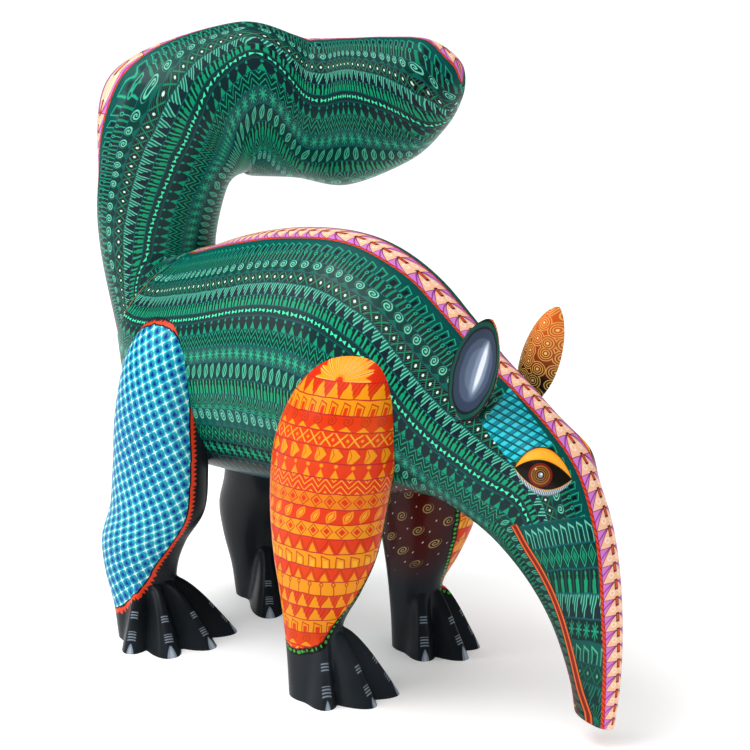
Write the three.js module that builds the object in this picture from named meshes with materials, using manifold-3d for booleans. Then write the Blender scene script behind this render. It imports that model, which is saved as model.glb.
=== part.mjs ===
// Carved and painted wooden anteater, standing on four feet with its tail curled over its back.
// Millimetres, +Z up, +X towards the snout, +Y towards the animal's left.
// The trunk and head are one carving. The tail, ears and legs are carved apart and pegged on.

import * as THREE from 'three';
import { mergeVertices } from 'three/addons/utils/BufferGeometryUtils.js';
import Module from 'manifold-3d';

const wasm = await Module();
wasm.setup();

// Driving dimensions of the trunk and head
const BACK_HEIGHT = 224; // floor to the top of the back
const BELLY_HEIGHT = 91; // floor to the belly
const TRUNK_HALF_WIDTH = 46; // widest half width, between the legs
const HIND_X = -72; // middle of the hind legs
const FORE_X = 48; // middle of the front legs
const HEAD_REACH = 138; // from the front legs to the front of the snout
const SNOUT_CLEARANCE = 10; // floor to the tip of the snout
const SNOUT_TIP_HALF_WIDTH = 5.5;
const EYE_BULGE = 5; // how far the brow and eye stand out of the head

// Driving dimensions of the tail
const TAIL_HEIGHT = 291; // floor to the tail's centre line over the arch
const TAIL_HALF_THICKNESS = 41.5; // at its thickest, over the arch
const SEAM_TILT = 45; // degrees between the tail's seat and the floor

// Driving dimensions of the legs and ears
const HIP_HEIGHT = 174; // floor to the top of a leg
const ANKLE_SPREAD = 40; // middle plane to the middle of an ankle
const HIND_STRADDLE = 9; // how much wider the left hind foot stands
const HIP_SINK = 8; // how far the middle of a leg's top lies inside the trunk's side
const LEG_HALF_THICKNESS = 21.5; // across the thickest part of a leg
const EAR_LENGTH = 50;
const EAR_WIDTH = 22.5;
const EAR_SINK = 2.5; // how far the foot of an ear is let into the head

// Fits
const GLUE_GAP = 0.3; // between two pieces that meet
const TAIL_DOWEL_R = 7;
const TAIL_DOWEL_LENGTH = 56;
const LOCATING_DOWEL_R = 3.5;
const LOCATING_DOWEL_LENGTH = 30;
const LEG_DOWEL_R = 4;
const LEG_DOWEL_LENGTH = 26;
const LEG_DOWEL_COVER = 8.5; // wood left between a leg dowel's end and the leg's outside
const TENON_R = 3.6;
const TENON_LENGTH = 13;
const TENON_LAP = 8; // how far the tenon runs up inside the ear

const vec = (x, y, z) => new THREE.Vector3(x, y, z);

// ---------------------------------------------------------------- surfaces

// A smooth curve through the stations, used for places and for half vectors alike.
function curveThrough(points) {
  return new THREE.CatmullRomCurve3(points, false, 'catmullrom', 0.5);
}

// Rounded square wave: an ellipse's cosine or sine, squared off by a power over 2.
function squared(value, power) {
  return Math.sign(value) * Math.abs(value) ** (2 / power);
}

// The section's unit point at one of its even steps, exactly mirrored left to right and top to bottom.
function sectionPoint(step, around, power) {
  const folded = Math.min(Math.abs(step), around / 2 - Math.abs(step));
  const angle = (folded * 2 * Math.PI) / around;
  const below = Math.abs(step) > around / 4 ? -1 : 1;
  return {
    rise: below * squared(Math.cos(angle), power),
    reach: Math.sign(step) * squared(Math.sin(angle), power),
  };
}

// A tube whose section at each station is an ellipse: centre, up half vector and side half vector.
// shape(point, {angle, reach, along}) may move a surface point afterwards.
function loft(stations, around, rings, { open = false, power = 2, shape = null } = {}) {
  const centre = curveThrough(stations.map((s) => s.centre));
  const up = curveThrough(stations.map((s) => s.up));
  const side = curveThrough(stations.map((s) => s.side));
  const tube = new THREE.CylinderGeometry(1, 1, 1, around, rings, open);
  const place = tube.attributes.position;
  for (let i = 0; i < place.count; i++) {
    const along = Math.min(1, Math.max(0, 0.5 - place.getY(i)));
    const radius = Math.hypot(place.getX(i), place.getZ(i));
    const turn = Math.atan2(place.getX(i), place.getZ(i));
    const step = Math.round((turn * around) / (2 * Math.PI));
    const point = centre.getPoint(along);
    if (radius > 0.5) {
      const { rise, reach } = sectionPoint(step, around, power);
      point.addScaledVector(up.getPoint(along), rise);
      point.addScaledVector(side.getPoint(along), reach);
      if (shape) shape(point, { angle: (step * 2 * Math.PI) / around, reach, along });
    }
    place.setXYZ(i, point.x, point.y, point.z);
  }
  return tube;
}

// Joins the loose faces of a geometry and drops the faces that have closed up to a line.
function welded(geometry) {
  const bare = geometry.clone();
  bare.deleteAttribute('normal');
  bare.deleteAttribute('uv');
  const merged = mergeVertices(bare, 1e-3);
  const index = merged.index.array;
  const kept = [];
  for (let i = 0; i < index.length; i += 3) {
    const [a, b, c] = [index[i], index[i + 1], index[i + 2]];
    if (a !== b && b !== c && c !== a) kept.push(a, b, c);
  }
  merged.setIndex(kept);
  return merged;
}

function solid(geometry) {
  const merged = welded(geometry);
  const mesh = new wasm.Mesh({
    numProp: 3,
    vertProperties: new Float32Array(merged.attributes.position.array),
    triVerts: new Uint32Array(merged.index.array),
  });
  const made = new wasm.Manifold(mesh);
  if (made.volume() > 0) return made;
  mesh.triVerts = mesh.triVerts.map((v, i, all) => all[i - (i % 3) + (2 - (i % 3))]);
  return new wasm.Manifold(mesh);
}

function geometryOf(manifold) {
  const mesh = manifold.getMesh();
  const geometry = new THREE.BufferGeometry();
  geometry.setAttribute('position', new THREE.BufferAttribute(mesh.vertProperties.slice(), 3));
  geometry.setIndex(Array.from(mesh.triVerts));
  geometry.computeVertexNormals();
  return geometry;
}

// A round peg, or the hole for it when its radius and ends are grown.
function peg(start, direction, length, radius, grow = 0, sides = 24) {
  const geometry = new THREE.CylinderGeometry(radius + grow, radius + grow, length + 2 * grow, sides);
  const turn = new THREE.Quaternion().setFromUnitVectors(vec(0, 1, 0), direction.clone().normalize());
  geometry.applyQuaternion(turn);
  const middle = start.clone().addScaledVector(direction, length / 2);
  geometry.translate(middle.x, middle.y, middle.z);
  return geometry;
}

// ---------------------------------------------------------------- trunk, neck, head and snout

const NECK_X = FORE_X + 24;
const SEAM = THREE.MathUtils.degToRad(SEAM_TILT);
const SEAM_IN = vec(Math.cos(SEAM), 0, Math.sin(SEAM)); // along the seat, towards the back
const SEAM_OUT = vec(-Math.sin(SEAM), 0, Math.cos(SEAM)); // the way the tail comes off
const SEAM_CENTRE = vec(HIND_X - 27.5, 0, BACK_HEIGHT - 44);
const SEAM_HALF_LENGTH = 44.5;
const SEAM_HALF_WIDTH = 33;

// Head and snout stations: reach and drop are shares of the way from the neck to the snout's tip.
const headDrop = BACK_HEIGHT - 15 - SNOUT_CLEARANCE;
const headReach = HEAD_REACH - 24;
function headStation(topReach, topDrop, underReach, underDrop, halfWidth) {
  const at = (reach, drop) => [NECK_X + reach * headReach, BACK_HEIGHT - 15 - drop * headDrop];
  return { top: at(topReach, topDrop), under: at(underReach, underDrop), halfWidth };
}

function bodyStations() {
  const w = TRUNK_HALF_WIDTH;
  const seamTop = SEAM_CENTRE.clone().addScaledVector(SEAM_IN, SEAM_HALF_LENGTH);
  const seamUnder = SEAM_CENTRE.clone().addScaledVector(SEAM_IN, -SEAM_HALF_LENGTH);
  const profile = [
    { top: [seamTop.x, seamTop.z], under: [seamUnder.x, seamUnder.z], halfWidth: SEAM_HALF_WIDTH },
    { top: [HIND_X + 14, BACK_HEIGHT - 10.5], under: [HIND_X - 51, BELLY_HEIGHT + 37], halfWidth: w - 8 },
    { top: [HIND_X + 26, BACK_HEIGHT - 7], under: [HIND_X - 37, BELLY_HEIGHT + 16], halfWidth: w - 3 },
    { top: [HIND_X + 46, BACK_HEIGHT - 2.5], under: [HIND_X - 12, BELLY_HEIGHT + 3], halfWidth: w - 1 },
    { top: [HIND_X + 72, BACK_HEIGHT + 0.3], under: [HIND_X + 27, BELLY_HEIGHT], halfWidth: w },
    { top: [FORE_X - 20, BACK_HEIGHT - 0.5], under: [FORE_X - 40, BELLY_HEIGHT + 1], halfWidth: w },
    { top: [FORE_X + 2, BACK_HEIGHT - 6], under: [FORE_X - 14, BELLY_HEIGHT + 2], halfWidth: w },
    headStation(-0.01, 0.012, -0.123, 0.565, w - 3),
    headStation(0.155, 0.092, 0.035, 0.548, w - 7),
    headStation(0.33, 0.18, 0.175, 0.545, w - 12),
    headStation(0.515, 0.257, 0.31, 0.57, w - 16.5),
    headStation(0.685, 0.335, 0.435, 0.61, w - 21),
    headStation(0.82, 0.42, 0.54, 0.662, w - 25.5),
    headStation(0.915, 0.52, 0.632, 0.722, w - 29.5),
    headStation(0.968, 0.638, 0.705, 0.788, w - 33),
    headStation(0.993, 0.766, 0.756, 0.857, w - 36),
    headStation(0.996, 0.889, 0.79, 0.92, SNOUT_TIP_HALF_WIDTH + 2),
    headStation(0.978, 1.0, 0.807, 0.977, SNOUT_TIP_HALF_WIDTH),
  ];
  return profile.map(({ top, under, halfWidth }) => ({
    centre: vec((top[0] + under[0]) / 2, 0, (top[1] + under[1]) / 2),
    up: vec((top[0] - under[0]) / 2, 0, (top[1] - under[1]) / 2),
    side: vec(0, halfWidth, 0),
  }));
}

const BODY = bodyStations();
const LAST_STATION = BODY.length - 1;
const EYE_ALONG = 11.5 / LAST_STATION;
const EYE_ANGLE = THREE.MathUtils.degToRad(48); // from the crest, round the section

// The brow and eye swell out of each side of the head.
function eyeBulge(point, { angle, along }) {
  const near = ((along - EYE_ALONG) / 0.035) ** 2 + ((Math.abs(angle) - EYE_ANGLE) / 0.4) ** 2;
  const outward = vec(0.35, Math.sign(angle) * 0.85, 0.4);
  point.addScaledVector(outward, EYE_BULGE * Math.exp(-near));
}

function bodyLoft(grow = 0) {
  const stations = BODY.map(({ centre, up, side }) => ({
    centre,
    up: up.clone().setLength(up.length() + grow),
    side: side.clone().setLength(side.length() + grow),
  }));
  return loft(stations, 28, 40, { power: 2.15, shape: eyeBulge });
}

// A place on the head's side, so far along the stations and so far round from the crest.
function headSurface(along, degrees, side) {
  const angle = THREE.MathUtils.degToRad(degrees);
  const point = curveThrough(BODY.map((s) => s.centre)).getPoint(along);
  point.addScaledVector(curveThrough(BODY.map((s) => s.up)).getPoint(along), Math.cos(angle));
  return point.addScaledVector(curveThrough(BODY.map((s) => s.side)).getPoint(along), side * Math.sin(angle));
}

// ---------------------------------------------------------------- tail

// Each station: place, share of the thickest half thickness, and heading in degrees from +X to +Y.
function tailStations() {
  const rise = TAIL_HEIGHT - SEAM_CENTRE.z;
  const base = SEAM_CENTRE;
  const path = [
    { reach: [-6, -7], lift: 0.27, thick: 0.76, tangent: [0, 1], heading: 60 },
    { reach: [-2.5, -5], lift: 0.58, thick: 0.845, tangent: [0.05, 1], heading: 60 },
    { reach: [3.5, 3], lift: 0.87, thick: 1.07, tangent: [0.6, 0.8], heading: 60 },
    { reach: [23, 31], lift: 0.985, thick: 1, tangent: [1, 0.12], heading: 58 },
    { reach: [40.5, 58], lift: 0.95, thick: 0.93, tangent: [1, -0.05], heading: 54 },
    { reach: [57.5, 78], lift: 0.93, thick: 0.975, tangent: [1, 0.03], heading: 43 },
    { reach: [82.5, 95], lift: 0.995, thick: 0.83, tangent: [1, 0.2], heading: 30 },
    { reach: [103, 102], lift: 1.06, thick: 0.6, tangent: [1, 0.15], heading: 20 },
    { reach: [115, 106], lift: 1.075, thick: 0.29, tangent: [1, 0], heading: 16 },
    { reach: [117.5, 107], lift: 1.077, thick: 0.02, tangent: [1, 0], heading: 16 },
  ];
  const twist = THREE.MathUtils.degToRad(path[0].heading);
  const rear = SEAM_IN.clone().multiplyScalar(-SEAM_HALF_LENGTH);
  const right = vec(0, -SEAM_HALF_WIDTH, 0);
  const seat = {
    centre: base.clone().addScaledVector(SEAM_OUT, GLUE_GAP),
    up: rear.clone().multiplyScalar(Math.cos(twist)).addScaledVector(right, Math.sin(twist)),
    side: right.clone().multiplyScalar(Math.cos(twist)).addScaledVector(rear, -Math.sin(twist)),
  };
  const rest = path.map(({ reach, lift, thick, tangent, heading }) => {
    const turn = THREE.MathUtils.degToRad(heading);
    const [run, climb] = vec(tangent[0], tangent[1], 0).normalize().toArray();
    const outward = vec(-climb * Math.cos(turn), -climb * Math.sin(turn), run);
    const sideways = vec(Math.sin(turn), -Math.cos(turn), 0);
    return {
      centre: vec(base.x + reach[0], reach[1], base.z + lift * rise),
      up: outward.multiplyScalar(thick * TAIL_HALF_THICKNESS),
      side: sideways.multiplyScalar(thick * 0.95 * TAIL_HALF_THICKNESS),
    };
  });
  return [seat, ...rest];
}

function tailLoft() {
  return loft(tailStations(), 24, 34, { power: 2.1 });
}

// ---------------------------------------------------------------- legs

const smooth = (low, high, x) => THREE.MathUtils.smoothstep(x, low, high);
const HIP_Y = TRUNK_HALF_WIDTH - HIP_SINK;

// Toes: fat rounded ridges that run out from the ankle down to blunt tips. The deepest cuts lie
// between them, and close up again towards the sole, where the toes stay webbed.
function toeShape({ middle, toes, ankle }) {
  return (point) => {
    if (point.z > ankle) return;
    const azimuth = Math.atan2(point.y - middle.y, point.x - middle.x);
    const fall = (1 - point.z / ankle) ** 0.65;
    let push = 0;
    for (const { heading, length, spread } of toes) {
      const turn = THREE.MathUtils.degToRad(heading);
      const off = Math.atan2(Math.sin(azimuth - turn), Math.cos(azimuth - turn));
      const share = Math.abs(off) / spread;
      push = Math.max(push, length * fall ** (1 + 1.5 * share ** 2) * Math.exp(-(share ** 2.2)));
    }
    point.x += push * Math.cos(azimuth);
    point.y += push * Math.sin(azimuth);
  };
}

function legLoft({ side, x, sections, toes, ankle, straddle = 0 }) {
  const stations = sections.map(({ lift, dx, dy, fore, wide }) => {
    const spread = THREE.MathUtils.lerp(ANKLE_SPREAD + straddle, HIP_Y, smooth(0.2, 0.8, lift));
    return {
      centre: vec(x + dx, side * (spread + dy), lift * HIP_HEIGHT),
      up: vec(fore, 0, 0),
      side: vec(0, wide * LEG_HALF_THICKNESS, 0),
    };
  });
  const foot = stations[stations.length - 1].centre;
  const shape = toeShape({ middle: foot, toes, ankle });
  return loft(stations, 60, 22, { power: 2.2, shape });
}

// Each section: height as a share of the hip height, offsets, half length and share of half thickness.
const FRONT_SECTIONS = [
  { lift: 1.0, dx: 15, dy: -8, fore: 0.5, wide: 0.03 },
  { lift: 0.965, dx: 14.5, dy: -6, fore: 17, wide: 0.6 },
  { lift: 0.87, dx: 11, dy: -2, fore: 28, wide: 0.88 },
  { lift: 0.735, dx: 5.5, dy: 0, fore: 33, wide: 1 },
  { lift: 0.575, dx: 1, dy: 0, fore: 31.5, wide: 1 },
  { lift: 0.425, dx: -1, dy: 0, fore: 27.5, wide: 0.93 },
  { lift: 0.31, dx: -4, dy: 0, fore: 21, wide: 0.79 },
  { lift: 0.21, dx: -8, dy: 0, fore: 15, wide: 0.62 },
  { lift: 0.1, dx: -8, dy: 0, fore: 13, wide: 0.58 },
  { lift: 0, dx: -7, dy: 0, fore: 13, wide: 0.58 },
];
const HIND_SECTIONS = [
  { lift: 1.04, dx: 9, dy: -6, fore: 0.5, wide: 0.03 },
  { lift: 1.0, dx: 9, dy: -2, fore: 14, wide: 0.51 },
  { lift: 0.89, dx: 7, dy: 1, fore: 24, wide: 0.79 },
  { lift: 0.72, dx: 3, dy: 2, fore: 27.5, wide: 0.91 },
  { lift: 0.55, dx: 1, dy: 1, fore: 29.5, wide: 0.93 },
  { lift: 0.42, dx: -3, dy: 0, fore: 29.5, wide: 0.93 },
  { lift: 0.31, dx: -14, dy: 0, fore: 26, wide: 0.88 },
  { lift: 0.21, dx: -17, dy: 0, fore: 20.5, wide: 0.84 },
  { lift: 0.1, dx: -14, dy: 0, fore: 17, wide: 0.77 },
  { lift: 0, dx: -11, dy: 0, fore: 16, wide: 0.79 },
];
const toe = (heading, length, spread = 0.36) => ({ heading, length, spread });
const RIGHT_FRONT_TOES = [toe(-32, 9, 0.42), toe(10, 21), toe(38, 28)];
const LEFT_FRONT_TOES = [toe(-40, 10, 0.46), toe(2, 20), toe(36, 21)];
const RIGHT_HIND_TOES = [toe(-60, 15), toe(-24, 25), toe(8, 29), toe(41, 31)];
const LEFT_HIND_TOES = [toe(60, 15), toe(24, 25), toe(-8, 29), toe(-41, 31)];
const FRONT = { x: FORE_X, sections: FRONT_SECTIONS, ankle: 34 };
const HIND = { x: HIND_X, sections: HIND_SECTIONS, ankle: 32 };
const LEGS = [
  { ...FRONT, name: 'right_front_leg', side: -1, toes: RIGHT_FRONT_TOES },
  { ...FRONT, name: 'left_front_leg', side: 1, toes: LEFT_FRONT_TOES },
  { ...HIND, name: 'right_hind_leg', side: -1, toes: RIGHT_HIND_TOES },
  { ...HIND, name: 'left_hind_leg', side: 1, toes: LEFT_HIND_TOES, straddle: HIND_STRADDLE },
];

// ---------------------------------------------------------------- ears

const EAR_ALONG = 9.6 / LAST_STATION;
const EAR_ANGLE = 66; // degrees from the crest, round the head
function earBase(side) {
  return headSurface(EAR_ALONG, EAR_ANGLE, side).sub(vec(0, side * EAR_SINK, 0));
}
function earAxis(side) {
  return vec(0.33, side * 0.03, 0.94).normalize();
}
// The tenon leans inwards so that it stays well inside the head.
function earPull(side) {
  return vec(0.15, side * 0.42, 0.89).normalize();
}

function earLoft(side) {
  const axis = earAxis(side);
  const cupWay = vec(0.15, side * 0.99, 0);
  cupWay.addScaledVector(axis, -cupWay.dot(axis)).normalize();
  const across = axis.clone().cross(cupWay).normalize();
  const base = earBase(side);
  const outline = [
    { up: 0, half: 0.3 }, { up: 0.08, half: 0.58 }, { up: 0.3, half: 0.93 }, { up: 0.52, half: 1 },
    { up: 0.74, half: 0.82 }, { up: 0.9, half: 0.5 }, { up: 0.98, half: 0.2 }, { up: 1, half: 0.05 },
  ];
  const stations = outline.map(({ up, half }) => ({
    centre: base.clone().addScaledVector(axis, up * EAR_LENGTH),
    up: cupWay.clone().multiplyScalar(2.4 * Math.min(1, half + 0.25) + 5 * Math.max(0, 0.35 - up)),
    side: across.clone().multiplyScalar((half * EAR_WIDTH) / 2),
  }));
  const bow = (point, { reach, along }) => {
    point.addScaledVector(cupWay, -5 * (1 - reach * reach) * Math.sin(Math.PI * along));
  };
  return loft(stations, 20, 20, { power: 2, shape: bow });
}

// ---------------------------------------------------------------- assembly

const PAINTS = {
  body: { color: 0x0b5a4b, roughness: 0.35, metalness: 0 },
  tail: { color: 0x0a6350, roughness: 0.35, metalness: 0 },
  right_front_leg: { color: 0xe8571f, roughness: 0.35, metalness: 0 },
  left_front_leg: { color: 0x2a1512, roughness: 0.35, metalness: 0 },
  right_hind_leg: { color: 0x1f8fb5, roughness: 0.35, metalness: 0 },
  left_hind_leg: { color: 0x17191c, roughness: 0.35, metalness: 0 },
  right_ear: { color: 0x5d6a78, roughness: 0.35, metalness: 0 },
  left_ear: { color: 0xc8641f, roughness: 0.35, metalness: 0 },
};
const RAW_WOOD = { color: 0xd9b98a, roughness: 0.7, metalness: 0 };

const figure = new THREE.Group();
function add(name, geometry) {
  const mesh = new THREE.Mesh(geometry, new THREE.MeshStandardMaterial(PAINTS[name] ?? RAW_WOOD));
  mesh.name = name;
  figure.add(mesh);
}

const grownBody = solid(bodyLoft(GLUE_GAP));
let trunk = solid(bodyLoft());
let tail = solid(tailLoft());

// Pegs across the tail's seat: half of each sits in the trunk, half in the tail.
function seatPeg(offset, length, radius, name) {
  const start = SEAM_CENTRE.clone().addScaledVector(SEAM_IN, offset).addScaledVector(SEAM_OUT, -length / 2);
  const hole = solid(peg(start, SEAM_OUT, length, radius, GLUE_GAP));
  trunk = trunk.subtract(hole);
  tail = tail.subtract(hole);
  add(name, peg(start, SEAM_OUT, length, radius));
}
seatPeg(4, TAIL_DOWEL_LENGTH, TAIL_DOWEL_R, 'tail_main_dowel');
seatPeg(-22, LOCATING_DOWEL_LENGTH, LOCATING_DOWEL_R, 'tail_locating_dowel');

for (const leg of LEGS) {
  let piece = solid(legLoft(leg)).subtract(grownBody);
  const heights = { upper: HIP_HEIGHT * 0.8, lower: HIP_HEIGHT * 0.66 };
  for (const [place, height] of Object.entries(heights)) {
    const inward = vec(0, -leg.side, 0);
    const reach = HIP_Y + LEG_HALF_THICKNESS - LEG_DOWEL_COVER;
    const start = vec(leg.x + 4, leg.side * reach, height);
    const hole = solid(peg(start, inward, LEG_DOWEL_LENGTH, LEG_DOWEL_R, GLUE_GAP, 16));
    piece = piece.subtract(hole);
    trunk = trunk.subtract(hole);
    add(`${leg.name}_${place}_dowel`, peg(start, inward, LEG_DOWEL_LENGTH, LEG_DOWEL_R, 0, 16));
  }
  add(leg.name, geometryOf(piece));
}

for (const [name, side] of [['right_ear', -1], ['left_ear', 1]]) {
  const root = earBase(side).addScaledVector(earAxis(side), TENON_LAP);
  const pull = earPull(side);
  const start = root.clone().addScaledVector(pull, -TENON_LENGTH - TENON_LAP);
  const tenon = solid(peg(start, pull, TENON_LENGTH + TENON_LAP, TENON_R));
  const ear = solid(earLoft(side)).subtract(grownBody).add(tenon);
  trunk = trunk.subtract(solid(peg(start, pull, TENON_LENGTH + 3 * TENON_LAP, TENON_R, GLUE_GAP)));
  add(name, geometryOf(ear));
}

add('body', geometryOf(trunk));
add('tail', geometryOf(tail));

// The origin is on the floor, under the middle of the figure's box.
const box = new THREE.Box3().setFromObject(figure);
const middle = box.getCenter(vec(0, 0, 0));
figure.position.set(-middle.x, -middle.y, -box.min.z);

export default figure;
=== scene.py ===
"""A hand-carved, hand-painted wooden anteater: trunk, lift-off tail and ears, and four pegged legs."""

import bpy
import numpy as np
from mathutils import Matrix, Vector


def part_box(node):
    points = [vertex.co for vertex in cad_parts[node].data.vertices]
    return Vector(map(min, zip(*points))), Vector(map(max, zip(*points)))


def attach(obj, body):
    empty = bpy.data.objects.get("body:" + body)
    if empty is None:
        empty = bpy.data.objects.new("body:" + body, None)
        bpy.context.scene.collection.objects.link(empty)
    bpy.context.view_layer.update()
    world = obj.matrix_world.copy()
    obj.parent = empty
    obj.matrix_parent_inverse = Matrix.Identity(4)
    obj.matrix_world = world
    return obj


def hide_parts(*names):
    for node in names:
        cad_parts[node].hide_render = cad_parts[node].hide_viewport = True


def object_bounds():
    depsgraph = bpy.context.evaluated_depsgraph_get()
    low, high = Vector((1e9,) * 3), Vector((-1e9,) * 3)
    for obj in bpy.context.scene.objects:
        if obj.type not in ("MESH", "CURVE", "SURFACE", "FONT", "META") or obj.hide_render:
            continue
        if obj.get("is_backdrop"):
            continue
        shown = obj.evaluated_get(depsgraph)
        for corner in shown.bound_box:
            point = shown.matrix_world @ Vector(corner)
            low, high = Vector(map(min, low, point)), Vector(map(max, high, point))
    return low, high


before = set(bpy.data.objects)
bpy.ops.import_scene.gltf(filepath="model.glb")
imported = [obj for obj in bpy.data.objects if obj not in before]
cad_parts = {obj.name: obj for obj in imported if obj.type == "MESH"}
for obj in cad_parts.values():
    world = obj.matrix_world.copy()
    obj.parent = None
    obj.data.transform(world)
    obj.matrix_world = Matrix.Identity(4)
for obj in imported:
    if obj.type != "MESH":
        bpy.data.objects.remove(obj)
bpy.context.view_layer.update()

# The carver's own zero: on the floor, in the middle plane of the trunk, under its half length.
# Every curve below is in millimetres from there, and is moved to the frame's zero as it is built.
body_low, body_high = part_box("body")
SNOUT_REACH = 0.1857  # metres from that zero forward to the snout's tip
carver_zero = np.array([body_high.x - SNOUT_REACH, (body_low.y + body_high.y) / 2, 0.0])


# ---------------------------------------------------------------- carved trunk and head
# The trunk, neck, head and snout are one piece of copal wood, cut with a machete and knives
# and sanded. Its rear end is sawn flat on a slope, where the tail is pegged on.


def curve_through(stations, t):
    """A smooth curve through evenly numbered stations: each stretch is the cubic whose slope at a
    station is half the step between that station's two neighbours."""
    p = np.asarray(stations, float)
    p = np.vstack([2 * p[0] - p[1], p, 2 * p[-1] - p[-2]])
    s = np.clip(t, 0, 1) * (len(stations) - 1)
    i = np.minimum(s.astype(int), len(stations) - 2)
    w = (s - i)[:, None]
    a, b, c, d = p[i], p[i + 1], p[i + 2], p[i + 3]
    low, high = (c - a) / 2, (d - b) / 2
    return (2 * b - 2 * c + low + high) * w**3 + (3 * c - 3 * b - 2 * low - high) * w**2 + low * w + b


def loft(stations, t, angle, power):
    """Rows along the stations and columns round them: centre + up * rise + side * reach, where rise and
    reach are the cosine and sine of the angle, squared off a little by the power."""
    centre, up, side = (curve_through([s[k] for s in stations], t)[:, None] for k in range(3))
    rise = (np.sign(np.cos(angle)) * np.abs(np.cos(angle)) ** (2 / power))[None, :, None]
    reach = (np.sign(np.sin(angle)) * np.abs(np.sin(angle)) ** (2 / power))[None, :, None]
    return centre + up * rise + side * reach


BACK, BELLY, HALF_WIDTH, HIND_X, FORE_X = 224, 91, 46, -72, 48
NECK_X, TIP_DROP, TIP_REACH, TIP_HALF_WIDTH = FORE_X + 24, 199, 114, 5.5
slope = np.radians(45)
seat_in = np.array([np.cos(slope), 0, np.sin(slope)])
seat_out = np.array([-np.sin(slope), 0, np.cos(slope)])
seat_centre = np.array([HIND_X - 27.5, 0, BACK - 44])
SEAT_HALF_LENGTH, SEAT_HALF_WIDTH = 44.5, 33

seat_top, seat_under = (seat_centre + s * SEAT_HALF_LENGTH * seat_in for s in (1, -1))
profile = [  # top x, top z, underside x, underside z, half width
    (seat_top[0], seat_top[2], seat_under[0], seat_under[2], SEAT_HALF_WIDTH),
    (HIND_X + 14, BACK - 10.5, HIND_X - 51, BELLY + 37, HALF_WIDTH - 8),
    (HIND_X + 26, BACK - 7, HIND_X - 37, BELLY + 16, HALF_WIDTH - 3),
    (HIND_X + 46, BACK - 2.5, HIND_X - 12, BELLY + 3, HALF_WIDTH - 1),
    (HIND_X + 72, BACK + 0.3, HIND_X + 27, BELLY, HALF_WIDTH),
    (FORE_X - 20, BACK - 0.5, FORE_X - 40, BELLY + 1, HALF_WIDTH),
    (FORE_X + 2, BACK - 6, FORE_X - 14, BELLY + 2, HALF_WIDTH),
]
head = [  # shares of the way from the neck to the tip of the snout, and how much the half width narrows
    (-0.01, 0.012, -0.123, 0.565, 3), (0.155, 0.092, 0.035, 0.548, 7), (0.33, 0.18, 0.175, 0.545, 12),
    (0.515, 0.257, 0.31, 0.57, 16.5), (0.685, 0.335, 0.435, 0.61, 21), (0.82, 0.42, 0.54, 0.662, 25.5),
    (0.915, 0.52, 0.632, 0.722, 29.5), (0.968, 0.638, 0.705, 0.788, 33), (0.993, 0.766, 0.756, 0.857, 36),
    (0.996, 0.889, 0.79, 0.92, HALF_WIDTH - TIP_HALF_WIDTH - 2),
    (0.978, 1, 0.807, 0.977, HALF_WIDTH - TIP_HALF_WIDTH),
]
for top_reach, top_drop, under_reach, under_drop, narrowed in head:
    profile.append((
        NECK_X + top_reach * TIP_REACH, BACK - 15 - top_drop * TIP_DROP,
        NECK_X + under_reach * TIP_REACH, BACK - 15 - under_drop * TIP_DROP, HALF_WIDTH - narrowed,
    ))
body_stations = [
    (((tx + ux) / 2, 0, (tz + uz) / 2), ((tx - ux) / 2, 0, (tz - uz) / 2), (0, half, 0))
    for tx, tz, ux, uz, half in profile
]
LAST = len(profile) - 1
EYE_AT, EYE_ROUND = 11.5 / LAST, np.radians(48)

body_t = np.linspace(0, 1, 300)
body_angle = np.linspace(-np.pi, np.pi, 221)[:-1]


def trunk_surface(t, angle, grow=0.0):
    """The trunk's loft, with the brow and eye swelling out of each side of the head as a soft bump."""
    stations = [
        (c, np.array(u) * (1 + grow / np.linalg.norm(u)), np.array(s) * (1 + grow / np.linalg.norm(s)))
        for c, u, s in body_stations
    ]
    p = loft(stations, t, angle, 2.15)
    near = ((t[:, None] - EYE_AT) / 0.035) ** 2 + ((np.abs(angle)[None, :] - EYE_ROUND) / 0.4) ** 2
    bump = 5 * np.exp(-near)
    return p + bump[..., None] * np.stack([0.35 + 0 * angle, 0.85 * np.sign(angle), 0.4 + 0 * angle], 1)[None]


body_points = trunk_surface(body_t, body_angle)
tip_centre = body_points[-1].mean(axis=0)
tip_way = tip_centre - body_points[-8].mean(axis=0)
tip_way /= np.linalg.norm(tip_way)
round_off = np.linspace(0, np.pi / 2, 9)[1:-1, None, None]
TIP_ROUNDING = 2.2  # mm that the snout's tip bulges past its last ring
tip_rows = (tip_centre + (body_points[-1:] - tip_centre) * np.cos(round_off)
            + TIP_ROUNDING * tip_way * np.sin(round_off))
body_points = np.concatenate([body_points, tip_rows])


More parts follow.
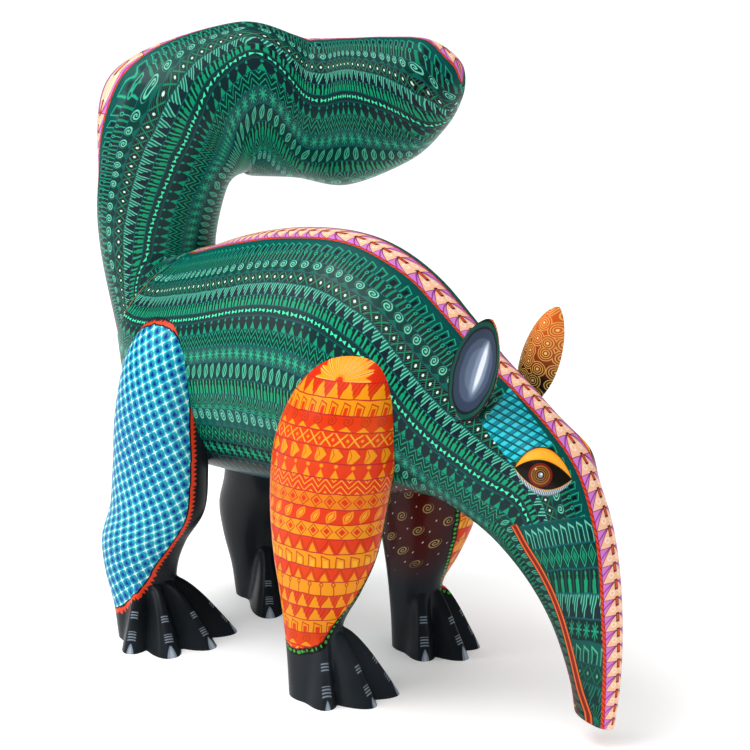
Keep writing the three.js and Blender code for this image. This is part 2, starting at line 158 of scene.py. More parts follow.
def carved(name, points, numbers, painted, wood=None):
    """A closed mesh from a grid of rows and columns in carver's millimetres. The columns wrap round and each
    end row is closed by a fan. numbers holds one value per grid point for each painted map. The fan at the
    first row takes the second material, where there is one."""
    rows, columns = points.shape[:2]
    grid = np.arange(rows * columns).reshape(rows, columns)
    after = np.roll(grid, -1, axis=1)
    quads = np.stack([grid[:-1], after[:-1], after[1:], grid[1:]], axis=2).reshape(-1, 4)
    ends = rows * columns + np.arange(2)
    first = np.stack([np.full(columns, ends[0]), after[0], grid[0]], axis=1)
    last = np.stack([np.full(columns, ends[1]), grid[-1], after[-1]], axis=1)
    places = np.vstack([points.reshape(-1, 3), points[0].mean(axis=0), points[-1].mean(axis=0)])
    a, b, c = (places[quads[:, k]] for k in (0, 1, 2))
    inward = np.einsum("ij,ij->i", a - places.mean(axis=0), np.cross(b - a, c - a)).sum() < 0
    faces = [*quads.tolist(), *first.tolist(), *last.tolist()]
    if inward:
        faces = [face[::-1] for face in faces]
    mesh = bpy.data.meshes.new(name)
    mesh.from_pydata((places * 0.001 + carver_zero).tolist(), [], faces)
    for label, values in numbers.items():
        spread = np.concatenate([values.ravel(), [values[0].mean(), values[-1].mean()]])
        mesh.attributes.new(label, "FLOAT", "POINT").data.foreach_set("value", spread.astype(np.float32))
    mesh.materials.append(painted)
    if wood:
        mesh.materials.append(wood)
        index = np.zeros(len(faces), np.int32)
        index[len(quads):len(quads) + columns] = 1
        mesh.polygons.foreach_set("material_index", index)
    mesh.polygons.foreach_set("use_smooth", np.ones(len(faces), bool))
    mesh.set_sharp_from_angle(angle=np.radians(55))
    made = bpy.data.objects.new(name, mesh)
    bpy.context.scene.collection.objects.link(made)
    return made


# ---------------------------------------------------------------- carved tail
# One bent branch, pegged on the sawn seat. It rises, arches forwards over the back and leans to
# the animal's left, and a shallow groove over the arch parts it into two long muscles.

TAIL_HEIGHT, TAIL_HALF = 291, 41.5
tail_path = [  # reach x, reach y, lift, thickness, tangent run, tangent climb, heading in degrees
    (-6, -7, 0.27, 0.76, 0, 1, 60), (-2.5, -5, 0.58, 0.845, 0.05, 1, 60), (3.5, 3, 0.87, 1.07, 0.6, 0.8, 60),
    (23, 31, 0.985, 1, 1, 0.12, 58), (40.5, 58, 0.95, 0.93, 1, -0.05, 54),
    (57.5, 78, 0.93, 0.975, 1, 0.03, 43),
    (82.5, 95, 0.995, 0.83, 1, 0.2, 30), (103, 102, 1.06, 0.6, 1, 0.15, 20),
    (115, 106, 1.075, 0.29, 1, 0, 16),
    (117.5, 107, 1.077, 0.02, 1, 0, 16),
]
twist = np.radians(tail_path[0][6])
rear, right = -SEAT_HALF_LENGTH * seat_in, np.array([0, -SEAT_HALF_WIDTH, 0])
tail_stations = [(
    seat_centre + 0.3 * seat_out,
    rear * np.cos(twist) + right * np.sin(twist), right * np.cos(twist) - rear * np.sin(twist),
)]
for x, y, lift, thick, run, climb, heading in tail_path:
    turn, size = np.radians(heading), np.hypot(run, climb)
    run, climb = run / size, climb / size
    tail_stations.append((
        (seat_centre[0] + x, y, seat_centre[2] + lift * (TAIL_HEIGHT - seat_centre[2])),
        np.array([-climb * np.cos(turn), -climb * np.sin(turn), run]) * thick * TAIL_HALF,
        np.array([np.sin(turn), -np.cos(turn), 0]) * thick * 0.95 * TAIL_HALF,
    ))
tail_t = np.linspace(0, 1, 300)
tail_angle = np.linspace(-np.pi, np.pi, 241)[:-1]
tail_points = loft(tail_stations, tail_t, tail_angle, 2.1)


# ---------------------------------------------------------------- carved legs
# Four legs, each carved apart, pegged and glued against the trunk's side. Each
# foot opens into toes: ridges that run out from the ankle to pointed tips, with valleys between.

HIP_HEIGHT, HIP_Y, ANKLE_SPREAD, LEG_HALF = 174, HALF_WIDTH - 8, 40, 21.5
FRONT_SECTIONS = [  # height as a share of the hip height, offsets x and y, half length, half thickness
    (1.0, 15, -8, 0.5, 0.03), (0.965, 14.5, -6, 17, 0.6), (0.87, 11, -2, 28, 0.88), (0.735, 5.5, 0, 33, 1),
    (0.575, 1, 0, 31.5, 1), (0.425, -1, 0, 27.5, 0.93), (0.31, -4, 0, 21, 0.79), (0.21, -8, 0, 15, 0.62),
    (0.1, -8, 0, 13, 0.58), (0, -7, 0, 13, 0.58),
]
HIND_SECTIONS = [
    (1.04, 9, -6, 0.5, 0.03), (1.0, 9, -2, 14, 0.51), (0.89, 7, 1, 24, 0.79), (0.72, 3, 2, 27.5, 0.91),
    (0.55, 1, 1, 29.5, 0.93), (0.42, -3, 0, 29.5, 0.93), (0.31, -14, 0, 26, 0.88), (0.21, -17, 0, 20.5, 0.84),
    (0.1, -14, 0, 17, 0.77), (0, -11, 0, 16, 0.79),
]
LEGS = {  # side, x, sections, ankle, straddle, then toes: heading in degrees, length, spread
    "right_front_leg": (-1, FORE_X, FRONT_SECTIONS, 34, 0, [(-32, 9, 0.42), (10, 21, 0.36), (38, 28, 0.36)]),
    "left_front_leg": (1, FORE_X, FRONT_SECTIONS, 34, 0, [(-40, 10, 0.46), (2, 20, 0.36), (36, 21, 0.36)]),
    "right_hind_leg": (-1, HIND_X, HIND_SECTIONS, 32, 0,
                       [(-60, 15, 0.36), (-24, 25, 0.36), (8, 29, 0.36), (41, 31, 0.36)]),
    "left_hind_leg": (1, HIND_X, HIND_SECTIONS, 32, 9,
                      [(60, 15, 0.36), (24, 25, 0.36), (-8, 29, 0.36), (-41, 31, 0.36)]),
}
leg_t = np.linspace(0, 1, 210)
leg_angle = np.linspace(-np.pi, np.pi, 241)[:-1]


def leg_surface(side, x, sections, ankle, straddle, toes):
    """Level sections stacked from the rounded top to the sole. Below the ankle the nearest toe pushes the
    surface straight out, most on its heading and at the sole, less to each side and higher up."""
    stations = []
    for lift, dx, dy, fore, wide in sections:
        u = np.clip((lift - 0.2) / 0.6, 0, 1)
        y = ANKLE_SPREAD + straddle + (HIP_Y - ANKLE_SPREAD - straddle) * u * u * (3 - 2 * u)
        stations.append(((x + dx, side * (y + dy), lift * HIP_HEIGHT), (fore, 0, 0), (0, wide * LEG_HALF, 0)))
    p = loft(stations, leg_t, leg_angle, 2.2)
    middle = stations[-1][0]
    azimuth = np.arctan2(p[..., 1] - middle[1], p[..., 0] - middle[0])
    fall = np.clip(1 - p[..., 2] / ankle, 0, 1) ** 0.65
    push = np.zeros(azimuth.shape)
    for heading, length, spread in toes:
        turn = np.radians(heading)
        share = np.abs(np.arctan2(np.sin(azimuth - turn), np.cos(azimuth - turn))) / spread
        push = np.maximum(push, length * fall ** (1 + 1.5 * share**2) * np.exp(-(share**2.2)))
    p = p + push[..., None] * np.stack([np.cos(azimuth), np.sin(azimuth), np.zeros(azimuth.shape)], axis=2)
    return p, azimuth


# ---------------------------------------------------------------- carved ears
# Two thin leaf-shaped cups, each carved with a round tenon at its foot that pushes into a hole
# drilled in the head, so that the ears lift off.

EAR_LENGTH, EAR_WIDTH, EAR_SINK, TENON_R, TENON_LENGTH, TENON_LAP = 50, 22.5, 2.5, 3.6, 13, 8
ear_t = np.linspace(0, 1, 110)
ear_angle = np.linspace(-np.pi, np.pi, 129)[:-1]


def ear_surface(side):
    """Flat oval sections up the ear's axis, bowed inwards between its two edges so that it cups outwards."""
    at, round_ = np.array([9.6 / LAST]), np.radians(66)
    centre, up, out = (curve_through([s[k] for s in body_stations], at)[0] for k in range(3))
    foot = centre + up * np.cos(round_) + out * side * np.sin(round_) - np.array([0, side * EAR_SINK, 0])
    axis = np.array([0.33, side * 0.03, 0.94])
    axis /= np.linalg.norm(axis)
    cup = np.array([0.15, side * 0.99, 0])
    cup -= axis * (cup @ axis)
    cup /= np.linalg.norm(cup)
    across = np.cross(axis, cup)
    outline = [(0, 0.3), (0.08, 0.58), (0.3, 0.93), (0.52, 1), (0.74, 0.82), (0.9, 0.5), (0.98, 0.2),
               (1, 0.05)]
    stations = [(
        foot + axis * up * EAR_LENGTH,
        cup * (2.4 * min(1, half + 0.25) + 5 * max(0, 0.35 - up)), across * half * EAR_WIDTH / 2,
    ) for up, half in outline]
    p = loft(stations, ear_t, ear_angle, 2)
    reach = np.sin(ear_angle)[None, :]
    bow = -5 * (1 - reach**2) * np.sin(np.pi * ear_t)[:, None]
    pull = np.array([0.15, side * 0.42, 0.89])
    return p + bow[..., None] * cup, foot, axis, pull / np.linalg.norm(pull)


# ---------------------------------------------------------------- brushes
# The painter's colours are acrylics, laid on a dark ground with a fine brush, line by line, and
# then sealed with a satin varnish. These are the strokes that every piece is painted with.


def paint(code):
    """A paint colour from its six hex digits."""
    value = np.array([int(code[k:k + 2], 16) for k in (0, 2, 4)]) / 255
    linear = np.where(value <= 0.04045, value / 12.92, ((value + 0.055) / 1.055) ** 2.4)
    return (*linear.tolist(), 1.0)


class Wire:
    """A number that runs between shader nodes. Each sum or product with it adds one Math node."""

    def __init__(self, tree, socket):
        self.tree, self.socket = tree, socket

    def math(self, operation, *others, clamp=False):
        node = self.tree.nodes.new("ShaderNodeMath")
        node.operation, node.use_clamp = operation, clamp
        for slot, value in zip(node.inputs, (self, *others)):
            if isinstance(value, Wire):
                self.tree.links.new(value.socket, slot)
            else:
                slot.default_value = value
        return Wire(self.tree, node.outputs[0])

    def __add__(self, other):
        return self.math("ADD", other)

    def __sub__(self, other):
        return self.math("SUBTRACT", other)

    def __mul__(self, other):
        return self.math("MULTIPLY", other)

    def __truediv__(self, other):
        return self.math("DIVIDE", other)

    def __rsub__(self, other):
        return self * -1 + other

    __radd__, __rmul__ = __add__, __mul__

    def __neg__(self):
        return self * -1

    def __abs__(self):
        return self.math("ABSOLUTE")

    def floor(self):
        return self.math("FLOOR")

    def fract(self):
        return self.math("FRACT")

    def least(self, other):
        return self.math("MINIMUM", other)

    def most(self, other):
        return self.math("MAXIMUM", other)

    def length(self, other):
        return (self * self + other * other).math("SQRT")

    def under(self, edge, soft=0.06):
        """1 where this is below the edge, 0 above, soft across the edge."""
        if isinstance(edge, Wire):
            return ((edge - self).math("MULTIPLY_ADD", 1 / soft, 0.5, clamp=True))
        return self.math("MULTIPLY_ADD", -1 / soft, edge / soft + 0.5, clamp=True)

    def over(self, edge, soft=0.06):
        if isinstance(edge, Wire):
            return ((self - edge).math("MULTIPLY_ADD", 1 / soft, 0.5, clamp=True))
        return self.math("MULTIPLY_ADD", 1 / soft, 0.5 - edge / soft, clamp=True)

    def painted(self, code, mask):
        """This colour with that paint laid over it wherever the mask is 1."""
        return over_paint(self.tree, self, paint(code), mask)

    def line(self, at, half, soft=0.04):
        """1 on a line of that half width where this equals at."""
        return abs(self - at).under(half, soft)


def new_group(name, inputs, outputs):
    """An empty shader node group, with a wire from each input and a dictionary to link its outputs."""
    tree = bpy.data.node_groups.new(name, "ShaderNodeTree")
    for label in inputs:
        tree.interface.new_socket(label, in_out="INPUT", socket_type="NodeSocketFloat")
    for label, kind in outputs.items():
        tree.interface.new_socket(label, in_out="OUTPUT", socket_type=f"NodeSocket{kind}")
    enter, leave = tree.nodes.new("NodeGroupInput"), tree.nodes.new("NodeGroupOutput")
    return tree, [Wire(tree, enter.outputs[label]) for label in inputs], leave


def placed(tree, group, **values):
    """A node group placed in a material, with its inputs linked or set."""
    node = tree.nodes.new("ShaderNodeGroup")
    node.node_tree = group
    for label, value in values.items():
        slot = node.inputs[label.replace("_", " ")]
        if isinstance(value, Wire):
            tree.links.new(value.socket, slot)
        else:
            slot.default_value = value
    return node


def attribute(tree, name):
    node = tree.nodes.new("ShaderNodeAttribute")
    node.attribute_name = name
    return Wire(tree, node.outputs["Fac"])


def noise(tree, scale, detail=2.0):
    """Cloudy noise over the carved shape, about 0.5."""
    place = tree.nodes.new("ShaderNodeTexCoord")
    node = tree.nodes.new("ShaderNodeTexNoise")
    node.inputs["Scale"].default_value = scale
    node.inputs["Detail"].default_value = detail
    tree.links.new(place.outputs["Object"], node.inputs["Vector"])
    return Wire(tree, node.outputs["Fac"])


def over_paint(tree, under, over, mask):
    """The colour over laid on the colour under wherever the mask is 1."""
    node = tree.nodes.new("ShaderNodeMix")
    node.data_type = "RGBA"
    for slot, value in ((node.inputs[0], mask), (node.inputs[6], under), (node.inputs[7], over)):
        if isinstance(value, Wire):
            tree.links.new(value.socket, slot)
        else:
            slot.default_value = value
    return Wire(tree, node.outputs[2])


def chosen(tree, index, values):
    """The value of that number in the list. Colours are colours, and plain numbers become greys."""
    node = tree.nodes.new("ShaderNodeValToRGB")
    stops = node.color_ramp
    stops.interpolation = "CONSTANT"
    for k, value in enumerate(values):
        spot = stops.elements[k] if k < 2 else stops.elements.new(k / len(values))
        spot.position = k / len(values)
        spot.color = value if isinstance(value, tuple) else (value, value, value, 1)
    tree.links.new(((index + 0.5) / len(values)).socket, node.inputs["Fac"])
    return Wire(tree, node.outputs["Color"])


MOTIFS = ["plain", "arch", "rod", "crook", "cross", "hatch", "bow", "spike", "arrow", "star", "leaf",
          "bottle", "chevron", "fan", "gate", "diamond"]
motifs, (cell, high, kind), leave = new_group(
    "Brush motifs", ["Across", "Down", "Kind"], {"Line": "Float", "Fill": "Float"})
side, low = abs(cell), high - 0.5  # across a cell from -0.5 to 0.5, and down it from 0 to 1
ring = cell.length(low)
spiral_r = cell.length(high - 0.36)
spiral_turn = (high - 0.36).math("ARCTAN2", cell) / (2 * np.pi)
crook_line = (abs((spiral_r / 0.19 + spiral_turn).fract() - 0.5) * 0.19).most(spiral_r - 0.3)
lean = cell * 0.8 + low * 0.45
tall = low * 0.9 - cell * 0.4
leaf = abs(lean) - (tall * tall * -1 + 0.2)
shapes = {  # distance to the nearest drawn line, and a distance that is negative inside the filled shape
    "plain": (None, None),
    "arch": (abs((side * 1.1).most(0.62 - high + cell * 0.35) - 0.32), (side * 1.3).most(0.7 - high) - 0.2),
    "rod": (abs(cell.length(high - 0.2) - 0.13).least(side.most(0.36 - high)),
            0.4 - side),
    "crook": (crook_line, (side * 0.8 + 0.66) - high),
    "cross": (abs(side - abs(low)).most(abs(low) - 0.34) * 0.7, (side - 0.5).length(low) - 0.1),
    "hatch": ((abs((cell * 3.5 + high * 1.5).fract() - 0.5) * 0.28).most(side + high * 0.5 - 0.5),
              side * -1 - high * 0.5 + 0.5),
    "bow": (abs(side - 0.5).most(abs(low) - 0.2), (abs(low) * 1.5 - side * 0.8).most(side - 0.34)),
    "spike": (None, (cell.length(high - 0.2) - 0.12).least((side * 1.9 + 0.42 - high) * 0.5)),
    "arrow": (abs(side - abs((cell + abs(low)).fract() - 0.5)), (abs(low) + cell - 0.25)),
    "star": (side.least(abs(low)).least(abs(side - abs(low)) * 0.7).most(ring - 0.36), ring - 0.1),
    "leaf": (abs(leaf).least(abs(lean).most(abs(tall) - 0.3)), leaf + 0.1),
    "bottle": (abs(side - 0.46), (cell.length(high - 0.18) - 0.11).least((side - 0.2).most(0.42 - high)
                            .least((side - 0.1).most(0.3 - high)))),
    "chevron": (abs((high + side * 1.1).math("MULTIPLY", 2.5).fract() - 0.5) * 0.4, None),
    "fan": (abs(((high - 1).math("ARCTAN2", cell) * (10 / np.pi)).fract() - 0.5) * 0.3,
            cell.length(high - 1) - 0.3),
    "gate": (abs(side - high * 0.5), side - high * 0.5 + 0.18),
    "diamond": (abs(side + abs(low) - 0.42), side + abs(low) - 0.24),
}
line_sum = fill_sum = None
for number, label in enumerate(MOTIFS):
    this = kind.math("COMPARE", float(number), 0.4)
    for which, distance in enumerate(shapes[label]):
        if distance is None:
            continue
        term = this * (distance.under((0.042, 0)[which], (0.05, 0.04)[which]))
        if which:
            fill_sum = term if fill_sum is None else fill_sum + term
        else:
            line_sum = term if line_sum is None else line_sum + term
motifs.links.new(line_sum.socket, leave.inputs["Line"])
motifs.links.new(fill_sum.socket, leave.inputs["Fill"])


def banded(tree, along, row, rows, wobble):
    """Rows of motifs. along is mm along the row and row counts rows, one for each entry of rows:
    motif, mm from one motif to the next, then ground, filled and drawn colours. Gives the colour and where
    strokes are drawn."""
    row = row + wobble * 0.16 - 0.08
    number = row.floor()
    number = (number - (number / len(rows)).floor() * len(rows))
    pitch = chosen(tree, number, [r[1] / 20 for r in rows]) * 20
    kind = chosen(tree, number, [MOTIFS.index(r[0]) / 16 for r in rows]) * 16
    count = along / pitch + wobble * 0.25
    node = placed(tree, motifs, Across=count.fract() - 0.5, Down=row.fract(), Kind=kind)
    drawn, filled = (Wire(tree, node.outputs[k]) for k in ("Line", "Fill"))
    colour = over_paint(tree, chosen(tree, number, [paint(r[2]) for r in rows]),
                        chosen(tree, number, [paint(r[3]) for r in rows]), filled)
    hair = ((along * 0.9 + row * 5.2) * 1.15 + wobble * 2).fract()
    colour = over_paint(tree, colour, chosen(tree, number, [paint(r[3]) for r in rows]),
                        hair.under(0.2, 0.3) * 0.1)
    colour = over_paint(tree, colour, chosen(tree, number, [paint(r[4]) for r in rows]), drawn)
    between = abs(row.fract() - 0.5).over(0.46, 0.03)
    return colour, drawn, between


strip, (along, off, half), leave = new_group(
    "Crest strip", ["Along", "Off middle", "Half width"], {"Colour": "Color", "Inside": "Float"})
away = abs(off) / half
count = along / 6.6
tooth = count.fract()
curve = away.math("POWER", 1.7)
colour = over_paint(strip, paint("cf79c9"), paint("8e3c93"), tooth.line(curve * 0.55, 0.05))
colour = colour.painted("f6bf9b", tooth.over(curve, 0.05))
colour = colour.painted("fce3cd", (tooth - 0.62).length(away * 0.8 - 0.3).line(0.13, 0.035))
colour = colour.painted("6d2030", (tooth - curve).line(0, 0.035).most(tooth.under(0.035)))
dash = (along / 6.6 + 0.3).fract().line(0.5, 0.3)
colour = colour.painted("4a1418", away.under(0.16, 0.04) * dash)
colour = colour.painted("d9482c", away.under(0.09, 0.04) * (along / 6.6 + 0.3).fract().line(0.5, 0.2))
twine = (along / 2.3 + abs(off) * 0.5).fract()
rope = over_paint(strip, paint("e2401f"), paint("7c1710"), twine.line(0.5, 0.12, 0.1))
rope = rope.painted("3c0f0f", away.line(1.0, 0.03, 0.03))
colour = over_paint(strip, colour, rope, away.over(1.0, 0.02))
strip.links.new(colour.socket, leave.inputs["Colour"])
strip.links.new((abs(off) - half).under(1.6, 0.15).socket, leave.inputs["Inside"])

varnish, (worn,), leave = new_group("Satin varnish", ["Drawn"], {"Roughness": "Float", "Height": "Float"})
varnish.links.new((noise(varnish, 35, 3) * 0.16 + 0.27 + worn * 0.06).socket, leave.inputs["Roughness"])
varnish.links.new((noise(varnish, 900, 2) * 0.25 + noise(varnish, 60, 2) + worn * 0.35).socket,
                  leave.inputs["Height"])


def painted_wood(name, build):
    """A varnished paint material. build(tree) gives its colour and the mask of drawn lines."""
    material = bpy.data.materials.new(name)
    material.use_nodes = True
    tree = material.node_tree
    shader = tree.nodes["Principled BSDF"]
    colour, drawn = build(tree)
    finish = placed(tree, varnish, Drawn=drawn)
    bump = tree.nodes.new("ShaderNodeBump")
    bump.inputs["Strength"].default_value = 0.5
    bump.inputs["Distance"].default_value = 0.00015
    tree.links.new(finish.outputs["Height"], bump.inputs["Height"])
    tree.links.new(bump.outputs["Normal"], shader.inputs["Normal"])
    tree.links.new(finish.outputs["Roughness"], shader.inputs["Roughness"])
    tree.links.new(colour.socket, shader.inputs["Base Color"])
    shader.inputs["Coat Weight"].default_value = 0.12
    shader.inputs["Coat Roughness"].default_value = 0.16
    shader.inputs["Specular IOR Level"].default_value = 0.06
    return material


# ---------------------------------------------------------------- bare wood
# The sawn seat, the drilled holes and the round pegs are bare copal: pale, close grained, with
# soft darker streaks along the grain and a few fine pores.


def bare_wood():
    material = bpy.data.materials.new("bare copal")
    material.use_nodes = True
    tree = material.node_tree
    shader = tree.nodes["Principled BSDF"]
    place, turn = tree.nodes.new("ShaderNodeTexCoord"), tree.nodes.new("ShaderNodeMapping")
    turn.inputs["Scale"].default_value = (60, 420, 420)
    grain = tree.nodes.new("ShaderNodeTexNoise")
    grain.inputs["Scale"].default_value = 1.0
    grain.inputs["Detail"].default_value = 4.0
    tree.links.new(place.outputs["Object"], turn.inputs["Vector"])
    tree.links.new(turn.outputs["Vector"], grain.inputs["Vector"])
    streak = Wire(tree, grain.outputs["Fac"])
    colour = over_paint(tree, paint("e4c79a"), paint("b98e58"),
                        streak.math("MULTIPLY_ADD", 2.2, -0.7, clamp=True))
    colour = colour.painted("8f6a3e", noise(tree, 1400, 1).over(0.7, 0.1) * 0.6)
    tree.links.new(colour.socket, shader.inputs["Base Color"])
    tree.links.new((streak * 0.2 + 0.6).socket, shader.inputs["Roughness"])
    bump = tree.nodes.new("ShaderNodeBump")
    bump.inputs["Distance"].default_value = 0.0002
    tree.links.new(streak.socket, bump.inputs["Height"])
    tree.links.new(bump.outputs["Normal"], shader.inputs["Normal"])
    return material


copal = bare_wood()


# ---------------------------------------------------------------- painted trunk and head
# Dark green paint with rows of fine motifs that run from the tail to the snout, each side of a
# peach and magenta crest. A mask of tiles, an eye and a mouth line are painted on each cheek.


def round_from(points, column):
    """Length round each row, in mm, from the given column: negative on one side, positive on the other."""
    step = np.linalg.norm(np.diff(points, axis=1, prepend=points[:, -1:]), axis=2)
    run = np.cumsum(step, axis=1)
    return run - run[:, column:column + 1]


def straight_along(points):
    """Distance along the piece's middle line, in mm, so that a motif stands square to it."""
    middle = points.mean(axis=1)
    way = np.gradient(middle, axis=0)
    way /= np.linalg.norm(way, axis=1, keepdims=True) + 1e-9
    run = np.insert(np.cumsum(np.linalg.norm(np.diff(middle, axis=0), axis=1)), 0, 0)
    return run[:, None] + np.einsum("ijk,ik->ij", points - middle[:, None], way)


def softened(values):
    """The values along a piece, averaged with their neighbours so that painted lines sweep smoothly."""
    window = np.hanning(23)
    return np.convolve(np.pad(values, 11, mode="edge"), window / window.sum(), mode="valid")


ROW_EDGES = [0, 2.6, 9.2, 15.4, 21.5, 28, 34, 39.2, 44.6, 51.5, 60, 68.5, 78, 86.5, 95, 105, 115, 126, 140]


def row_numbers(beyond, bow):
    """The row that lies so many mm beyond the crest. Rows above the row of bows close up or open out so that
    its middle is bow mm from the crest, and the rows below it keep their heights."""
    stretched = np.where(beyond < bow, beyond / bow * 41.9, 41.9 + beyond - bow)
    return np.interp(stretched, ROW_EDGES, np.arange(len(ROW_EDGES)))


full_t = np.concatenate([body_t, 1 + np.linspace(0.002, 0.012, len(body_points) - len(body_t))])
crest_shift = softened(np.interp(full_t,
                                 [0, 0.17, 0.25, 0.294, 0.331, 0.375, 0.43, 0.5, 0.62, 0.71, 0.75, 0.85, 1],
                                 [-8, -12, -9.5, -6.5, -4.3, -2.6, 2, 4, 4.5, 4, 1.5, -1.5, -1]))
crest_half = np.interp(full_t, [0, 0.1, 0.3, 0.6, 0.75, 0.85, 0.95, 1.02],
                       [7, 8.4, 8.6, 8.8, 8.2, 7.4, 5.4, 3])
off = round_from(body_points, 110) - crest_shift[:, None]
half_round = np.linalg.norm(np.diff(body_points, axis=1, append=body_points[:, :1]), axis=2).sum(axis=1) / 2
bow_at = softened(np.interp(full_t, [0, 0.21, 0.264, 0.308, 0.4, 0.495, 0.552, 0.65, 0.7, 1],
                            [54, 48.5, 42.8, 44, 46.5, 51, 48, 38, 34, 20]))
flank_row = row_numbers(np.abs(off) - crest_half[:, None] - 1.6, bow_at[:, None])
along = straight_along(body_points)
mouth_down = np.interp(full_t, [0.6, 0.699, 0.773, 0.846, 0.947, 0.987, 1.02],
                       [60, 49.5, 41.7, 32.6, 19.4, 13, 11])
below_mouth = np.abs(off + crest_shift[:, None]) - mouth_down[:, None]
down_snout = (full_t[:, None] - 0.7525 + 0.0014 * (np.abs(off) - 11.4)) * 340
side_sign = np.sign(body_points[..., 1])
eye_middle = np.array([156.2, 21.6, 125.6])
eye_ahead, eye_over = np.array([0.843, -0.535, -0.05]), np.array([-0.11, -0.27, 0.955])
mirrored = body_points * np.stack([np.ones_like(side_sign), side_sign, np.ones_like(side_sign)], axis=2)
from_eye = mirrored - eye_middle
on_cheek = (full_t[:, None] > 0.45) & (full_t[:, None] < 0.78) & (np.abs(off) < 60)
eye_x = np.where(on_cheek, from_eye @ eye_ahead, 99)
eye_y = np.where(on_cheek, from_eye @ eye_over, 99)
under = half_round[:, None] - np.abs(off + crest_shift[:, None])  # mm from the middle of the underside
chest = np.clip(1 - np.abs(full_t[:, None] - 0.47) / 0.07, 0, 1) * np.clip((34 - under) / 12, 0, 1)

INK, SLATE, PINE, TEAL, SEA = "0b161b", "13222c", "03332f", "044a46", "045c4c"
JADE, LEAF, MINT, FOAM, WHITE = "06805a", "0b9266", "1fa67e", "6ccdae", "d5f8e8"
BODY_ROWS = [
    ("plain", 6, TEAL, TEAL, SEA), ("arch", 4.2, TEAL, INK, MINT), ("rod", 4, SLATE, JADE, MINT),
    ("crook", 5.4, PINE, SEA, FOAM), ("cross", 4.6, INK, WHITE, JADE), ("hatch", 4.4, SEA, SLATE, FOAM),
    ("bottle", 4.4, INK, LEAF, MINT), ("bow", 4.6, SLATE, "46f2b4", INK), ("spike", 4.8, SLATE, LEAF, FOAM),
    ("chevron", 4.6, PINE, SEA, MINT), ("star", 4.8, TEAL, WHITE, MINT), ("leaf", 4.6, PINE, TEAL, "4fbf9b"),
    ("bottle", 4.6, INK, LEAF, MINT), ("fan", 5.2, SLATE, JADE, MINT), ("crook", 5.4, TEAL, SEA, FOAM),
    ("cross", 5, PINE, MINT, LEAF), ("star", 5, INK, JADE, MINT), ("spike", 5, INK, SEA, MINT),
]
SNOUT_ROWS = [
    ("arch", 4.4, TEAL, PINE, FOAM), ("diamond", 4.6, PINE, JADE, MINT), ("bottle", 4.6, INK, LEAF, TEAL),
    ("hatch", 5, SEA, SLATE, FOAM), ("star", 4.6, INK, LEAF, MINT), ("arch", 4.6, SEA, PINE, FOAM),
    ("cross", 4.8, PINE, FOAM, JADE), ("hatch", 4.6, TEAL, SLATE, MINT), ("fan", 4.8, INK, LEAF, MINT),
    ("arrow", 5, TEAL, JADE, FOAM), ("bottle", 4.6, INK, LEAF, MINT), ("leaf", 4.8, PINE, JADE, FOAM),
    ("crook", 5, TEAL, SEA, FOAM),
]


